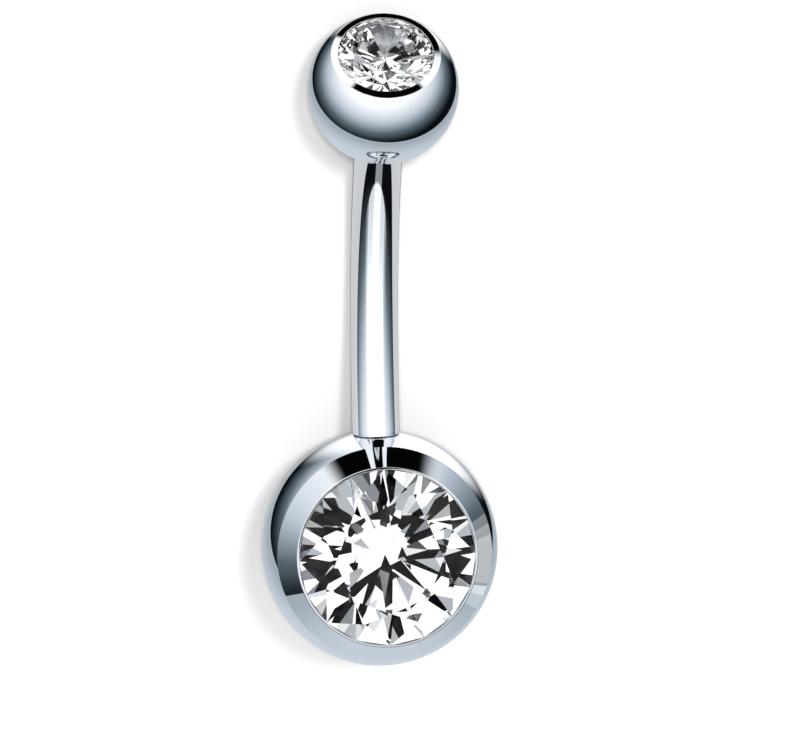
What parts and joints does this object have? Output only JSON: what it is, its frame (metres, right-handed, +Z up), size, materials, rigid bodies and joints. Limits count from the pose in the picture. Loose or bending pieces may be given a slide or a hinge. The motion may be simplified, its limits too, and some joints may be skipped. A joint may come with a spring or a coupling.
{
  "type": "double-gem curved navel ring",
  "caption": "Curved bar with a fixed ball at its lower end, stone facing the inside of the bend, and a smaller ball that screws off its top end, stone set in line with it.",
  "frame": {"origin": "middle of the bounding box in plan, at the level of the surface that both balls rest on", "axes": "+X from the lower ball to the top ball, +Y square to the bar's bend plane, +Z up, towards the side that the lower stone faces"},
  "size_m": [0.0238, 0.008, 0.0078],
  "materials": {
    "polished_steel": "surgical steel, turned and mirror polished",
    "clear_stone": "colourless cubic zirconia, cut and polished"
  },
  "bodies": {
    "barbell": {"bar": "polished_steel", "lower_ball": "polished_steel", "lower_stone": "clear_stone"},
    "screw_end": {"top_ball": "polished_steel", "top_stone": "clear_stone"}
  },
  "joints": [
    {"name": "top_ball_unscrew", "type": "slide", "parent": "barbell", "child": "screw_end", "axis": [0.9498, 0, 0.313], "range_m": [0, 0.003]}
  ]
}
